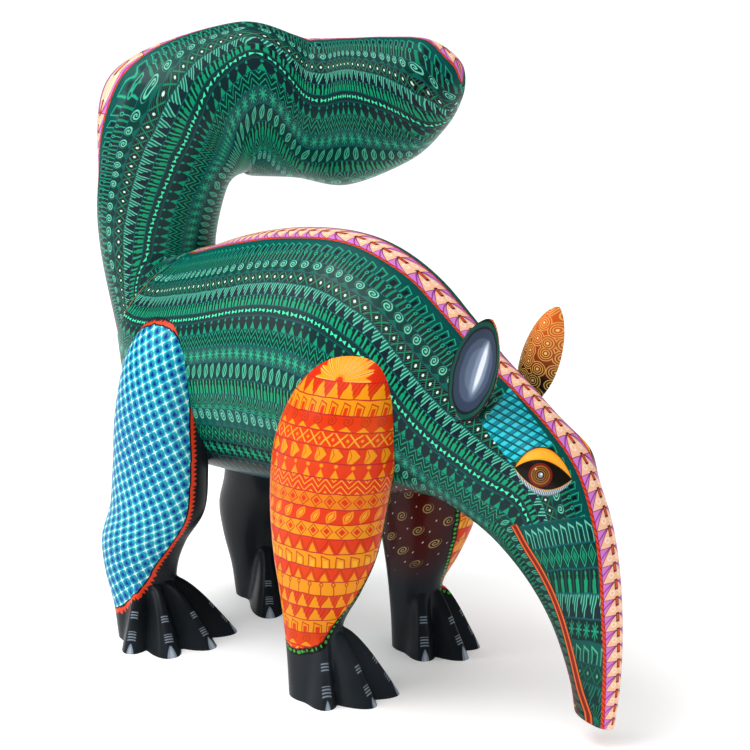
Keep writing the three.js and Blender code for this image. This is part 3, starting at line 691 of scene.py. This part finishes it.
def body_paint(tree):
    off, along, flank = (attribute(tree, k) for k in ("off crest", "along", "flank row"))
    below, down = attribute(tree, "below mouth"), attribute(tree, "down snout")
    ex, ey = attribute(tree, "eye ahead"), attribute(tree, "eye above")
    wobble, cloud = noise(tree, 160, 1), noise(tree, 9, 3)
    rows = len(BODY_ROWS)
    is_snout = down.over(0, 0.1) * below.under(0, 0.1)
    is_jaw = below.over(0, 0.1) * down.over(-6, 0.1)
    on_flank = flank.least(rows - 0.01).most(0.0)
    on_jaw = (below / 6.4 + 11).least(rows - 0.01)
    on_snout = (down / 9 + rows).least(rows + len(SNOUT_ROWS) - 0.01)
    row = on_flank + is_jaw * (on_jaw - on_flank)
    row = row + is_snout * (on_snout - row)
    across = along + is_snout * (off - along)
    colour, drawn, between = banded(tree, across, row, BODY_ROWS + SNOUT_ROWS, wobble)
    colour = colour.painted("0b5560", between * 0.8)
    colour = colour.painted("0a8c78", cloud.math("MULTIPLY_ADD", 1.6, -0.7, clamp=True) * 0.25)
    under, chest = attribute(tree, "under"), attribute(tree, "chest")
    # painted shade: the paint is darkened towards the middle of the underside, where less light falls
    colour = colour.painted("12201f", under.under(24, 26) * 0.7)
    dots = ((along / 5.2).fract() - 0.5).length((under / 5.2 + (along / 5.2).floor() * 0.5).fract() - 0.5)
    colour = colour.painted("3f1512", chest.over(0.5, 0.2))
    colour = colour.painted("efe6dc", chest.over(0.55, 0.1) * dots.under(0.1, 0.05))
    chin = under.under(7, 5) * down.over(12, 20)
    colour = colour.painted("5f2420", chin)
    colour = colour.painted("d6a35a", chin.over(0.8, 0.1) * dots.under(0.12, 0.05))
    lips = abs(below)
    lip_on = down.over(-1, 0.6)
    colour = colour.painted("12201f", lips.under(2.4, 0.4) * lip_on)
    colour = colour.painted("d9662a", lips.under(1.9, 0.3) * lip_on)
    colour = colour.painted("7d1f16", lips.under(1.0, 0.3) * lip_on)

    # tiles of pale and deep turquoise between the ear and the eye
    p = (ex + 16.2) * 0.651 - (ey - 38.4) * 0.76
    q = (ex + 16.2) * -0.76 - (ey - 38.4) * 0.651
    panel = (p - q * 0.35).over(0, 0.4) * (p + q * 0.215).under(32.1, 0.4) * q.over(0, 0.4) * q.under(20, 0.4)
    a = p / 3.7
    b = (q / 3.5 + a * 0.5).fract()
    tile = b.over(0.14, 0.1) * b.under(0.86, 0.1)
    a = a.fract()
    colour = colour.painted("064f4c", panel)
    colour = colour.painted("2fc3d2", panel * tile * a.under(0.5, 0.08))
    colour = colour.painted("0f8298", panel * tile * a.over(0.54, 0.06) * a.under(0.9, 0.06))

    # the eye: an orange lid over an almond with a ringed iris, two painted highlights, and brushed lashes
    # under it
    s = (ex - 1.2) / 12.4
    arc = (s * s * -1 + 1).most(0)
    base = ex * -0.11 + 0.85
    upper, lower, lid = base + arc * 5.4, base - arc * 6.8, base + arc.math("POWER", 0.8) * 11.4
    inside = abs(s).under(1, 0.02)
    colour = colour.painted("5d6d7c", inside * ey.under(lower, 0.3)
                            * ey.over(lower - arc.math("POWER", 0.4) * 2.6, 0.3))
    lash = (ex * 1.1 + ey * 0.5).fract().under(0.45, 0.2)
    colour = colour.painted("c3ccd6", lash * inside * ey.under(lower, 0.3)
                            * ey.over(lower - arc.math("POWER", 0.4) * 2.2, 0.3))
    opening = inside * ey.under(upper, 0.2) * ey.over(lower, 0.2)
    colour = colour.painted("17130f", opening)
    r = ex.length(ey)
    for edge, code in ((5.1, "7a1c12"), (4.3, "1c0e0a"), (4.1, "9a6428"), (3.5, "3c2012"), (3.1, "8a5a28"),
                       (2.6, "4a2814"), (2.1, "9a6428"), (1.7, "1a1210"), (1.1, "8b929c")):
        colour = colour.painted(code, opening * r.under(edge, 0.25))
    # painted highlights: a white spot on the pupil and a fainter cream spot on the iris, standing in for
    # reflections on the eye
    colour = colour.painted("e8edf2", opening * (ex - 0.4).length(ey - 0.4).under(0.45, 0.2))
    colour = colour.painted("efe3cf", opening * (ex + 2.2).length(ey - 2.4).under(0.4, 0.2) * 0.6)
    colour = colour.painted("c9963c", inside * (ey - lower).line(-0.1, 0.22, 0.2))
    colour = colour.painted("f0941c", inside * ey.over(upper, 0.2) * ey.under(lid, 0.25))
    colour = colour.painted("f8b637", inside * ey.over(upper + 0.8, 1.2) * ey.under(lid - 1.2, 1.5) * 0.7)
    colour = colour.painted("20140c", inside * (ey - upper).line(0, 0.32, 0.2))
    colour = colour.painted("3b2410", inside * (ey - lid).line(0, 0.3, 0.3))

    node = placed(tree, strip, Along=along, Off_middle=off, Half_width=attribute(tree, "crest half"))
    inside = Wire(tree, node.outputs["Inside"])
    colour = over_paint(tree, colour, Wire(tree, node.outputs["Colour"]), inside)
    return colour, drawn * (inside * -1 + 1)


def drill(start, way, radius, deep):
    """A closed round cutter of that depth, whose faces take the second material of what it cuts."""
    ring_x = np.cross(way, [0.2, 1.0, 0.1])
    ring_x /= np.linalg.norm(ring_x)
    turn = np.linspace(0, 2 * np.pi, 49)[:-1, None]
    rim = radius * (np.cos(turn) * ring_x + np.sin(turn) * np.cross(way, ring_x))
    rows = start + np.linspace(0, deep, 12)[:, None, None] * way + rim[None]
    cutter = carved("drill", rows, {}, copal, copal)
    cutter.data.polygons.foreach_set("material_index", np.ones(len(cutter.data.polygons), np.int32))
    return cutter


def bored(piece, cutters):
    """The piece with each cutter's shape taken out of it."""
    for cutter in cutters:
        cut = piece.modifiers.new(cutter.name, "BOOLEAN")
        cut.object, cut.operation, cut.solver = cutter, "DIFFERENCE", "MANIFOLD"
    bpy.context.view_layer.update()
    graph = bpy.context.evaluated_depsgraph_get()
    shape = bpy.data.meshes.new_from_object(piece.evaluated_get(graph), preserve_all_data_layers=True,
                                            depsgraph=graph)
    piece.modifiers.clear()
    piece.data = shape


body = carved("painted_trunk", body_points, {
    "off crest": off, "along": along, "flank row": flank_row, "below mouth": below_mouth,
    "down snout": down_snout, "eye ahead": eye_x, "eye above": eye_y, "under": under, "chest": chest,
    "crest half": crest_half[:, None] + 0 * off,
}, painted_wood("painted trunk", body_paint), copal)
# the holes drilled for the tail's two pegs and the ears' tenons
seat_holes = [drill(seat_centre + along_seat * seat_in - deep / 2 * seat_out, seat_out, radius, deep)
              for along_seat, radius, deep in ((4, 7.3, 56.6), (-22, 3.8, 30.6))]
ear_holes = []
for side in (-1, 1):
    foot, axis, pull = ear_surface(side)[1:]
    ear_holes.append(drill(foot + axis * TENON_LAP - pull * (TENON_LENGTH + TENON_LAP + 0.3), pull, 3.9, 37))
bored(body, seat_holes + ear_holes)
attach(body, "trunk")
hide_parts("body")


# ---------------------------------------------------------------- painted tail
# The same rows run up the tail and over its arch, waving where the carving is grooved, each side
# of the same crest, which follows the outside of the curl.

tail_shift = softened(np.interp(tail_t,
                                [0, 0.15, 0.21, 0.235, 0.27, 0.31, 0.35, 0.4, 0.47, 0.53, 0.6, 0.8, 0.86, 1],
                                [-13, -13, -12, -5, 8, 9, -1, -5, -2, 3, 0, -2, 3, 0]))
tail_half = np.interp(tail_t, [0, 0.1, 0.75, 0.86, 0.95, 1], [7, 8, 8, 7, 4, 1])
groove_at = np.interp(tail_angle, np.radians([-180, 0, 30, 52, 72, 92, 130]),
                      [0.51, 0.51, 0.505, 0.4916, 0.4816, 0.475, 0.47])
groove_deep = np.interp(tail_angle, np.radians([-60, 0, 30, 90, 125, 160]), [0, 0.5, 1.3, 1.3, 0.4, 0])
tail_middle = tail_points.mean(axis=1, keepdims=True)
pinch = groove_deep * np.exp(-(((tail_t[:, None] - groove_at) / 0.013) ** 2))
inwards = tail_middle - tail_points
inwards /= np.linalg.norm(inwards, axis=2, keepdims=True) + 1e-9
tail_points = tail_points + inwards * pinch[..., None]
tail_off = round_from(tail_points, 120) - tail_shift[:, None]
tail_bow = softened(np.interp(
    tail_t, [0, 0.13, 0.187, 0.21, 0.25, 0.314, 0.3645, 0.395, 0.415, 0.4415, 0.475, 0.545, 0.62, 0.69,
             0.786, 0.9, 1],
    [34, 43, 50, 53, 50, 49, 40, 34, 34, 40, 46, 44, 45.6, 50.6, 60, 45, 20]))
tail_row = row_numbers(np.abs(tail_off) - tail_half[:, None] - 1.6, tail_bow[:, None])


def tail_paint(tree):
    off, along, row = (attribute(tree, k) for k in ("off crest", "along", "row down"))
    wobble, cloud = noise(tree, 160, 1), noise(tree, 9, 3)
    rows = row.least(len(BODY_ROWS) - 0.01).most(0.0)
    colour, drawn, between = banded(tree, along, rows, BODY_ROWS, wobble)
    colour = colour.painted("0b5560", between * 0.8)
    colour = colour.painted("0a8c78", cloud.math("MULTIPLY_ADD", 1.6, -0.7, clamp=True) * 0.25)
    node = placed(tree, strip, Along=along, Off_middle=off, Half_width=attribute(tree, "crest half"))
    inside = Wire(tree, node.outputs["Inside"])
    colour = over_paint(tree, colour, Wire(tree, node.outputs["Colour"]), inside)
    return colour, drawn * (inside * -1 + 1)


tail = carved("painted_tail", tail_points, {
    "off crest": tail_off, "along": straight_along(tail_points), "row down": tail_row,
    "crest half": tail_half[:, None] + 0 * tail_off,
}, painted_wood("painted tail", tail_paint), copal)
bored(tail, seat_holes)
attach(tail, "tail")
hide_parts("tail")
for cutter in seat_holes + ear_holes:
    bpy.data.objects.remove(cutter)


# ---------------------------------------------------------------- painted legs
# Each leg is black with pale claws. The outside of a front leg carries a red and orange panel of
# rows edged with green dots, and the outside of a hind leg a turquoise net edged with red teeth.

FRONT_PANEL = [  # the panel's edge: degrees from the front of the leg, round its outer side, and height
    (-91, 172), (-45, 171), (-8, 166), (8, 153), (14, 135), (18, 113), (20, 92), (17, 72), (7, 55),
    (-5, 44.5),
    (-20, 35.5), (-42, 30), (-70, 27.5), (-102, 26.5), (-135, 30), (-160, 42), (-172, 65), (-176, 95),
    (-172, 125), (-155, 152), (-125, 167),
]
HIND_PANEL = [
    (-93, 174), (-56, 172.5), (-34, 168), (-20, 157), (-12, 139), (-10, 118), (-12, 98), (-14, 77), (-13, 56),
    (-24, 44.5), (-37, 34), (-72, 23.5), (-105, 17.5), (-135, 17), (-160, 27), (-174, 50), (-178, 80),
    (-178, 115),
    (-172, 145), (-140, 167),
]


def panel_edge(points, corners, side):
    """Signed distance in mm from a closed edge drawn on the leg, positive inside, and the run along it."""
    closed = np.array(corners + corners[:1], float)
    loop = curve_through(closed, np.linspace(0, 1, 161))[:-1]
    angle = np.radians(loop[:, 0]) * -side
    high = points[:, :, 2].mean(axis=1)
    rows = np.interp(-loop[:, 1], -high, np.arange(len(high)))
    columns = (angle + np.pi) / (2 * np.pi) * points.shape[1]
    edge = points[rows.round().astype(int), columns.round().astype(int) % points.shape[1]]
    flat = points.reshape(-1, 3)
    nearest, run_at = np.full(len(flat), 1e9), np.zeros(len(flat))
    crossings = np.zeros(len(flat), int)
    turn = np.tile(np.degrees(leg_angle) * -side, (len(points), 1)).ravel()
    turn = np.where(turn > 90, turn - 360, turn)
    height = np.repeat(high, points.shape[1])
    run = 0.0
    for k in range(len(edge)):
        a, b = edge[k], edge[(k + 1) % len(edge)]
        length = np.linalg.norm(b - a)
        if length > 0:
            share = np.clip((flat - a) @ (b - a) / length**2, 0, 1)
            away = np.linalg.norm(flat - a - share[:, None] * (b - a), axis=1)
            run_at = np.where(away < nearest, run + share * length, run_at)
            nearest = np.minimum(nearest, away)
        run += length
        (a0, z0), (a1, z1) = loop[k], loop[(k + 1) % len(loop)]
        if z0 != z1:
            hit = ((z0 > height) != (z1 > height)) & (turn < a0 + (height - z0) * (a1 - a0) / (z1 - z0))
            crossings += hit
    inside = crossings % 2 == 1
    shape = points.shape[:2]
    return np.where(inside, nearest, -nearest).reshape(shape), run_at.reshape(shape)


def black_leg(tree):
    """Charcoal paint, with pale claws and three short strokes across each toe."""
    cloud = noise(tree, 14, 3)
    colour = over_paint(tree, paint("14181b"), paint("2c333a"),
                        cloud.math("MULTIPLY_ADD", 2, -0.7, clamp=True))
    out, middle, tip = attribute(tree, "toe out"), attribute(tree, "toe middle"), attribute(tree, "toe tip")
    marks = abs((tip / 1.25).fract() - 0.5).under(0.24, 0.12) * (tip / 9.4 - 0.83).fract().under(0.44, 0.02)
    marks = marks * tip.over(7.6, 0.3) * tip.under(25, 0.3) * middle.under(2.5 - tip * 0.03, 0.5)
    colour = colour.painted("7c8894", marks * 0.9)
    claw = (middle / 2.7 + (tip / 6.8).math("POWER", 1.6)).under(1, 0.12)
    colour = colour.painted("7f8c9a", claw)
    return over_paint(tree, colour, paint("b6c0ca"),
                      claw * (middle / 1.2 + (tip / 5.4).math("POWER", 2)).under(1, 0.5) * 0.6)


RED, ORANGE, AMBER, STRAW, RUST = "d42e0c", "de7a0e", "e58f12", "e8a82e", "b02a0d"
FAN_HEIGHT = 160  # mm above the floor, where the panel's rows end and its fan of petals starts
PANEL_ROW = 7.3  # mm, height of one of the panel's rows
SPIRAL_STEP = 13  # mm between the spirals on the leg's inner side


def front_leg_paint(tree):
    edge, run, high, across = (attribute(tree, k) for k in ("panel", "panel run", "high", "across"))
    inner = attribute(tree, "inner")
    colour = black_leg(tree)
    glow = inner.over(0.5, 0.8) * high.over(52, 30)
    colour = colour.painted("4e140e", glow * noise(tree, 12, 2).over(0.42, 0.3))
    u, v = across / SPIRAL_STEP, high / SPIRAL_STEP
    curl = (u.fract() - 0.5) * SPIRAL_STEP
    curl_v = ((v + u.floor() * 0.5).fract() - 0.5) * SPIRAL_STEP
    r = curl.length(curl_v)
    turns = r / 1.5 + curl_v.math("ARCTAN2", curl) / (2 * np.pi)
    spiral = abs(turns.fract() - 0.5).under(0.2, 0.15) * r.under(3, 0.3)
    colour = colour.painted("a8905c", glow.over(0.5, 0.3) * spiral)
    dots = (abs(curl) - 6.5).length(abs(curl_v)).under(0.55, 0.2)
    colour = colour.painted("e9e3d8", glow.over(0.4, 0.3) * dots)

    wobble = noise(tree, 140, 1)
    row = (high * -1 + FAN_HEIGHT) / PANEL_ROW
    rows = [
        ("hatch", 7.5, RED, AMBER, RUST), ("arch", 6.2, AMBER, RED, RUST), ("crook", 8, RED, AMBER, RUST),
        ("cross", 7, RED, AMBER, STRAW), ("arrow", 8, RED, AMBER, RUST), ("spike", 7.6, RED, AMBER, STRAW),
        ("chevron", 7.6, RED, AMBER, STRAW), ("diamond", 7, ORANGE, RED, RUST),
        ("leaf", 8, RED, STRAW, AMBER), ("diamond", 7, AMBER, RED, RUST), ("gate", 7.6, RED, AMBER, RUST),
        ("arch", 7, AMBER, STRAW, RUST), ("gate", 7, RED, AMBER, RUST), ("rod", 6, AMBER, AMBER, RUST),
        ("hatch", 6.4, RED, AMBER, RUST),
    ]
    panel, drawn, between = banded(tree, across, row.most(0.0), rows, wobble)
    panel = panel.painted("b01f28", between)
    fan_high = high - FAN_HEIGHT
    ray = abs((fan_high.math("ARCTAN2", across) * (10 / np.pi)).fract() - 0.5)
    fan_r = across.length(fan_high)
    petals = over_paint(tree, paint("d42a0a"), paint("ee960f"),
                        ray.under(0.4, 0.06) * fan_r.under(ray * 9 + 12, 0.5) * fan_r.over(2, 0.5))
    petals = petals.painted("fbc767", ray.over(0.36, 0.05) * ray.under(0.44, 0.03) * fan_r.over(3, 0.5)
                            * fan_r.under(15, 0.5))
    panel = over_paint(tree, panel, petals, fan_high.over(0, 0.3))
    panel = panel.painted("f0a01c", noise(tree, 30, 2).math("MULTIPLY_ADD", 2, -0.9, clamp=True) * 0.15)
    colour = colour.painted("0d120d", edge.over(-3, 0.2))
    bead = ((run / 2.7).fract() - 0.5).length(edge / 2.7 + 0.52)
    colour = colour.painted("3f9a3c", bead.under(0.3, 0.08))
    colour = over_paint(tree, colour, panel, edge.over(0, 0.2))
    colour = colour.painted("8e1f1c", edge.line(0.2, 0.25, 0.2))
    return colour, drawn * edge.over(0, 0.2)


def hind_leg_paint(tree):
    edge, run, high, across = (attribute(tree, k) for k in ("panel", "panel run", "high", "across"))
    colour = black_leg(tree)
    wobble = noise(tree, 120, 1)
    u = (across * 0.92 + high * 0.42) / 5 + wobble * 0.2
    v = (high * 0.86 - across * 0.5) / 5 + wobble * 0.2
    fu, fv = u.fract() - 0.5, v.fract() - 0.5
    to_u, to_v = 0.5 - abs(fu), 0.5 - abs(fv)
    panel = over_paint(tree, paint("0a93ad"), paint("2cc4cf"),
                       noise(tree, 22, 2).math("MULTIPLY_ADD", 2.4, -0.8, clamp=True))
    r = fu.length(fv)
    panel = panel.painted("157f93", r.line(0.36, 0.04))
    panel = panel.painted("0b57a8", r.under(0.3, 0.05))
    panel = panel.painted("082c6b", (fu + 0.04).length(fv + 0.02).under(0.14, 0.06))
    panel = panel.painted("35a7b5", (fu - 0.12).length(fv - 0.1).line(0.12, 0.035) * fu.over(0.1, 0.05))
    lines = to_u.least(to_v)
    panel = panel.painted("4cbcc9", lines.under(0.02, 0.05))
    glint = (to_u * to_v).under(0.008, 0.01) * to_u.length(to_v).under(0.34, 0.1)
    panel = panel.painted("d9f6f6", glint)
    teeth = abs((run / 2.5).fract() - 0.5) * 4.4 - 4.4
    colour = colour.painted("d9401f", edge.over(teeth, 0.15) * edge.under(-0.7, 0.15))
    colour = colour.painted("0c0d0f", edge.over(-0.9, 0.15))
    colour = over_paint(tree, colour, panel, edge.over(0, 0.2))
    return colour, lines.under(0.06, 0.04) * edge.over(0, 0.2)


leg_paints = {
    "front": painted_wood("painted front leg", front_leg_paint),
    "hind": painted_wood("painted hind leg", hind_leg_paint),
}
for name, (side, x, sections, ankle, straddle, toes) in LEGS.items():
    points, azimuth = leg_surface(side, x, sections, ankle, straddle, toes)
    front = "front" in name
    edge, run = panel_edge(points, FRONT_PANEL if front else HIND_PANEL, side)
    round_leg = round_from(points, 120)
    outward = np.broadcast_to(np.sin(leg_angle) * side, points.shape[:2])
    toe_out, toe_middle, toe_tip, nearest = (np.full(points.shape[:2], v) for v in (0.0, 9.0, 99.0, 9.0))
    middle = np.array([x + sections[-1][1], side * (ANKLE_SPREAD + straddle)])
    for heading, length, spread in toes:
        turn = np.radians(heading)
        off_toe = np.arctan2(np.sin(azimuth - turn), np.cos(azimuth - turn)) / spread
        out = (points[..., :2] - middle) @ np.array([np.cos(turn), np.sin(turn)])
        aside = np.abs((points[..., :2] - middle) @ np.array([-np.sin(turn), np.cos(turn)]))
        nearer = np.abs(off_toe) < nearest
        nearest = np.where(nearer, np.abs(off_toe), nearest)
        toe_out = np.where(nearer, out, toe_out)
        toe_tip = np.where(nearer, np.hypot(out[points[..., 2] < ankle].max() - out, points[..., 2] * 0.85),
                           toe_tip)
        toe_middle = np.where(nearer, aside, toe_middle)
    toe_tip = np.where(points[..., 2] > ankle * 0.95, 99, toe_tip)
    leg = carved(name.replace("leg", "leg_painted"), points, {
        "panel": edge, "panel run": run, "high": points[..., 2],
        "across": (round_leg - round_leg[:, [int(120 + side * 52)]]) * -side,
        "inner": np.clip(-outward, -1, 1), "toe out": toe_out, "toe middle": toe_middle, "toe tip": toe_tip,
    }, leg_paints["front" if front else "hind"])
    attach(leg, "trunk")
    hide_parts(name)


# ---------------------------------------------------------------- painted ears and their tenons
# The cup of each ear is painted slate blue, with a painted highlight in it: a pale patch round a white spot.
# Its back is painted with gold rings that fade from orange at the tip to brown at the foot. The tenon under
# each ear is left bare.


def ear_paint(tree):
    up, across, cup = (attribute(tree, k) for k in ("ear up", "ear across", "cup side"))
    place = tree.nodes.new("ShaderNodeCombineXYZ")
    tree.links.new((across * 1.9).socket, place.inputs[0])
    tree.links.new((up * 7.4).socket, place.inputs[1])
    cells = tree.nodes.new("ShaderNodeTexVoronoi")
    cells.voronoi_dimensions = "2D"
    cells.inputs["Scale"].default_value = 1.0
    cells.inputs["Randomness"].default_value = 0.35
    tree.links.new(place.outputs[0], cells.inputs["Vector"])
    away = Wire(tree, cells.outputs["Distance"])
    ground = over_paint(tree, paint("1c1410"), paint("d25a1e"), up.over(0.58, 0.5))
    rings = (away * 6.6).fract().line(0.5, 0.2, 0.2)
    colour = over_paint(tree, ground, paint("e3ab58"), rings * away.under(0.62, 0.05))
    colour = colour.painted("f2cf86", away.under(0.07, 0.03))
    shape = across.length((up - 0.5) * 2.02)
    inside = over_paint(tree, paint("14191c"), paint("0e4a3e"), shape.under(0.93, 0.03))
    for edge, code in ((0.87, "13171b"), (0.82, "303c50"), (0.64, "46546a"), (0.45, "5c6a80")):
        inside = inside.painted(code, (shape + noise(tree, 60, 2) * 0.06).under(edge, 0.04))
    # painted highlight: a pale patch and a white spot in the cup, standing in for the lamps' reflection
    cup_highlight = ((across - 0.12) * 3.2).length((up - 0.52) * 3.4)
    inside = inside.painted("7c8aa0", cup_highlight.under(0.85, 0.3))
    inside = inside.painted("d5dce6", ((across - 0.14) * 8).length((up - 0.54) * 4.2).under(0.9, 0.4))
    return over_paint(tree, colour, inside, cup.over(0.06, 0.05)), rings


ear_finish = painted_wood("painted ear", ear_paint)
for name, side in (("right_ear", -1), ("left_ear", 1)):
    points, foot, axis, pull = ear_surface(side)
    spread = np.broadcast_to(np.sin(ear_angle), points.shape[:2])
    up_ear = np.clip(np.einsum("ijk,k->ij", points - foot, axis) / EAR_LENGTH, 0, 1)
    width = np.interp(up_ear, [0, 0.08, 0.3, 0.52, 0.74, 0.9, 0.98, 1],
                      [0.3, 0.58, 0.93, 1, 0.82, 0.5, 0.2, 0.05])
    ear = carved(name + "_cup", points, {
        "ear up": up_ear, "ear across": spread * width,
        "cup side": np.broadcast_to(np.cos(ear_angle), points.shape[:2]),
    }, ear_finish)
    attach(ear, name)
    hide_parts(name)
    root = foot + axis * TENON_LAP
    reach = np.array([-TENON_LENGTH - TENON_LAP, -TENON_LENGTH - TENON_LAP + 0.6, -8, -4])
    radius = np.array([TENON_R - 0.6, TENON_R, TENON_R - 0.2, 1.2])
    first = np.cross(pull, [0, 0, 1.0])
    first /= np.linalg.norm(first)
    second = np.cross(pull, first)
    turn = np.linspace(0, 2 * np.pi, 49)[:-1, None]
    rim = np.cos(turn) * first + np.sin(turn) * second
    rows = np.interp(np.linspace(0, 3, 40), np.arange(4), reach)[:, None, None] * pull
    rows = root + rows + np.interp(np.linspace(0, 3, 40), np.arange(4), radius)[:, None, None] * rim[None]
    tenon = carved(name + "_tenon", rows, {}, copal)
    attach(tenon, name)


# ---------------------------------------------------------------- pegs
# Round hardwood pegs turned to a push fit. Two cross the tail's sawn seat and two hold each leg.

for node_name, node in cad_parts.items():
    if node_name.endswith("dowel"):
        node.data.materials.clear()
        node.data.materials.append(copal)


# ---------------------------------------------------------------- table, lights and camera
# The figure stands on a plain pale table, under a wide soft lamp, in a white room.

floor_mesh = bpy.data.meshes.new("table")
floor_mesh.from_pydata([(-6, -6, 0), (6, -6, 0), (6, 6, 0), (-6, 6, 0)], [], [(0, 1, 2, 3)])
floor = bpy.data.objects.new("table", floor_mesh)
bpy.context.scene.collection.objects.link(floor)
white = bpy.data.materials.new("white table")
white.use_nodes = True
tree = white.node_tree
tree.nodes["Principled BSDF"].inputs["Roughness"].default_value = 0.9
tree.nodes["Principled BSDF"].inputs["Specular IOR Level"].default_value = 0.0
tree.nodes["Principled BSDF"].inputs["Emission Color"].default_value = (1, 1, 1, 1)
tree.nodes["Principled BSDF"].inputs["Emission Strength"].default_value = 0.16
tree.links.new(over_paint(tree, paint("f6f6f6"), paint("fcfcfc"), noise(tree, 3)).socket,
               tree.nodes["Principled BSDF"].inputs["Base Color"])
floor_mesh.materials.append(white)
floor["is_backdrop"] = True

world = bpy.data.worlds.new("white room")
world.use_nodes = True
room = world.node_tree
path = room.nodes.new("ShaderNodeLightPath")
behind, mirrored_room = (Wire(room, path.outputs[label]) for label in ("Is Camera Ray", "Is Glossy Ray"))
room.nodes["Background"].inputs["Color"].default_value = (1, 1, 1, 1)
ROOM_LIGHT, BACKDROP, MIRRORED = 0.52, 0.58, 0.44  # light in the room, more for the eye, less in the varnish
room.links.new((behind * BACKDROP - mirrored_room * MIRRORED + ROOM_LIGHT).socket,
               room.nodes["Background"].inputs["Strength"])
bpy.context.scene.world = world
bpy.context.scene.view_settings.view_transform = "Standard"


def soft_lamp(name, place, size, power):
    lamp = bpy.data.lights.new(name, "AREA")
    lamp.shape, lamp.size, lamp.size_y, lamp.energy = "RECTANGLE", *size, power
    made = bpy.data.objects.new(name, lamp)
    made.location = place
    made.rotation_euler = (Vector((0, 0, 0.15)) - Vector(place)).to_track_quat("-Z", "Y").to_euler()
    bpy.context.scene.collection.objects.link(made)


soft_lamp("overhead softbox", (-0.25, -0.6, 1.3), (0.8, 0.6), 7)
soft_lamp("side softbox", (-1.0, -1.1, 0.7), (0.5, 0.8), 4)
sky = bpy.data.lights.new("diffused skylight", "SUN")
sky.energy, sky.angle = 1.75, np.radians(80)
above = bpy.data.objects.new("diffused skylight", sky)
above.rotation_euler = (np.radians(18), np.radians(-12), 0)
bpy.context.scene.collection.objects.link(above)

lens = bpy.data.cameras.new("camera")
lens.lens = 62.06
lens.sensor_width = 36
lens.clip_start = 0.01
camera = bpy.data.objects.new("camera", lens)
camera.location = Vector((0.44807, -0.47988, 0.265)) + Vector(carver_zero)
camera.rotation_euler = Vector((-0.63285, 0.75420, -0.17513)).to_track_quat("-Z", "Y").to_euler()
bpy.context.scene.collection.objects.link(camera)
bpy.context.scene.camera = camera

low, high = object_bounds()
